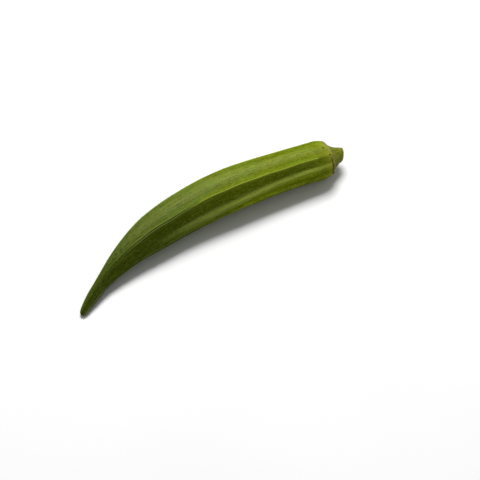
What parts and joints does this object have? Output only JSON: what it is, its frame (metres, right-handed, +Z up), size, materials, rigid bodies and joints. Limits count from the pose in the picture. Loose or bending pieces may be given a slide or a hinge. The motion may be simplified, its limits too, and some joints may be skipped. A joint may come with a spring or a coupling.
{
  "type": "okra pod",
  "caption": "Whole fresh okra pod lying on its side: a curved, tapering green capsule with sharp lengthwise ridges, a blunt tip and a short cut stem on a flared foot.",
  "frame": {"origin": "middle of the pod's footprint, on the surface that it lies on", "axes": "+X along the pod from its tip to its stem, +Y towards the outside of its bow, +Z up"},
  "size_m": [0.1354, 0.028, 0.0183],
  "materials": {
    "pod_skin": "satin",
    "stem_skin": "matte"
  },
  "bodies": {
    "root": {"pod": "pod_skin", "stem": "stem_skin"}
  },
  "joints": []
}
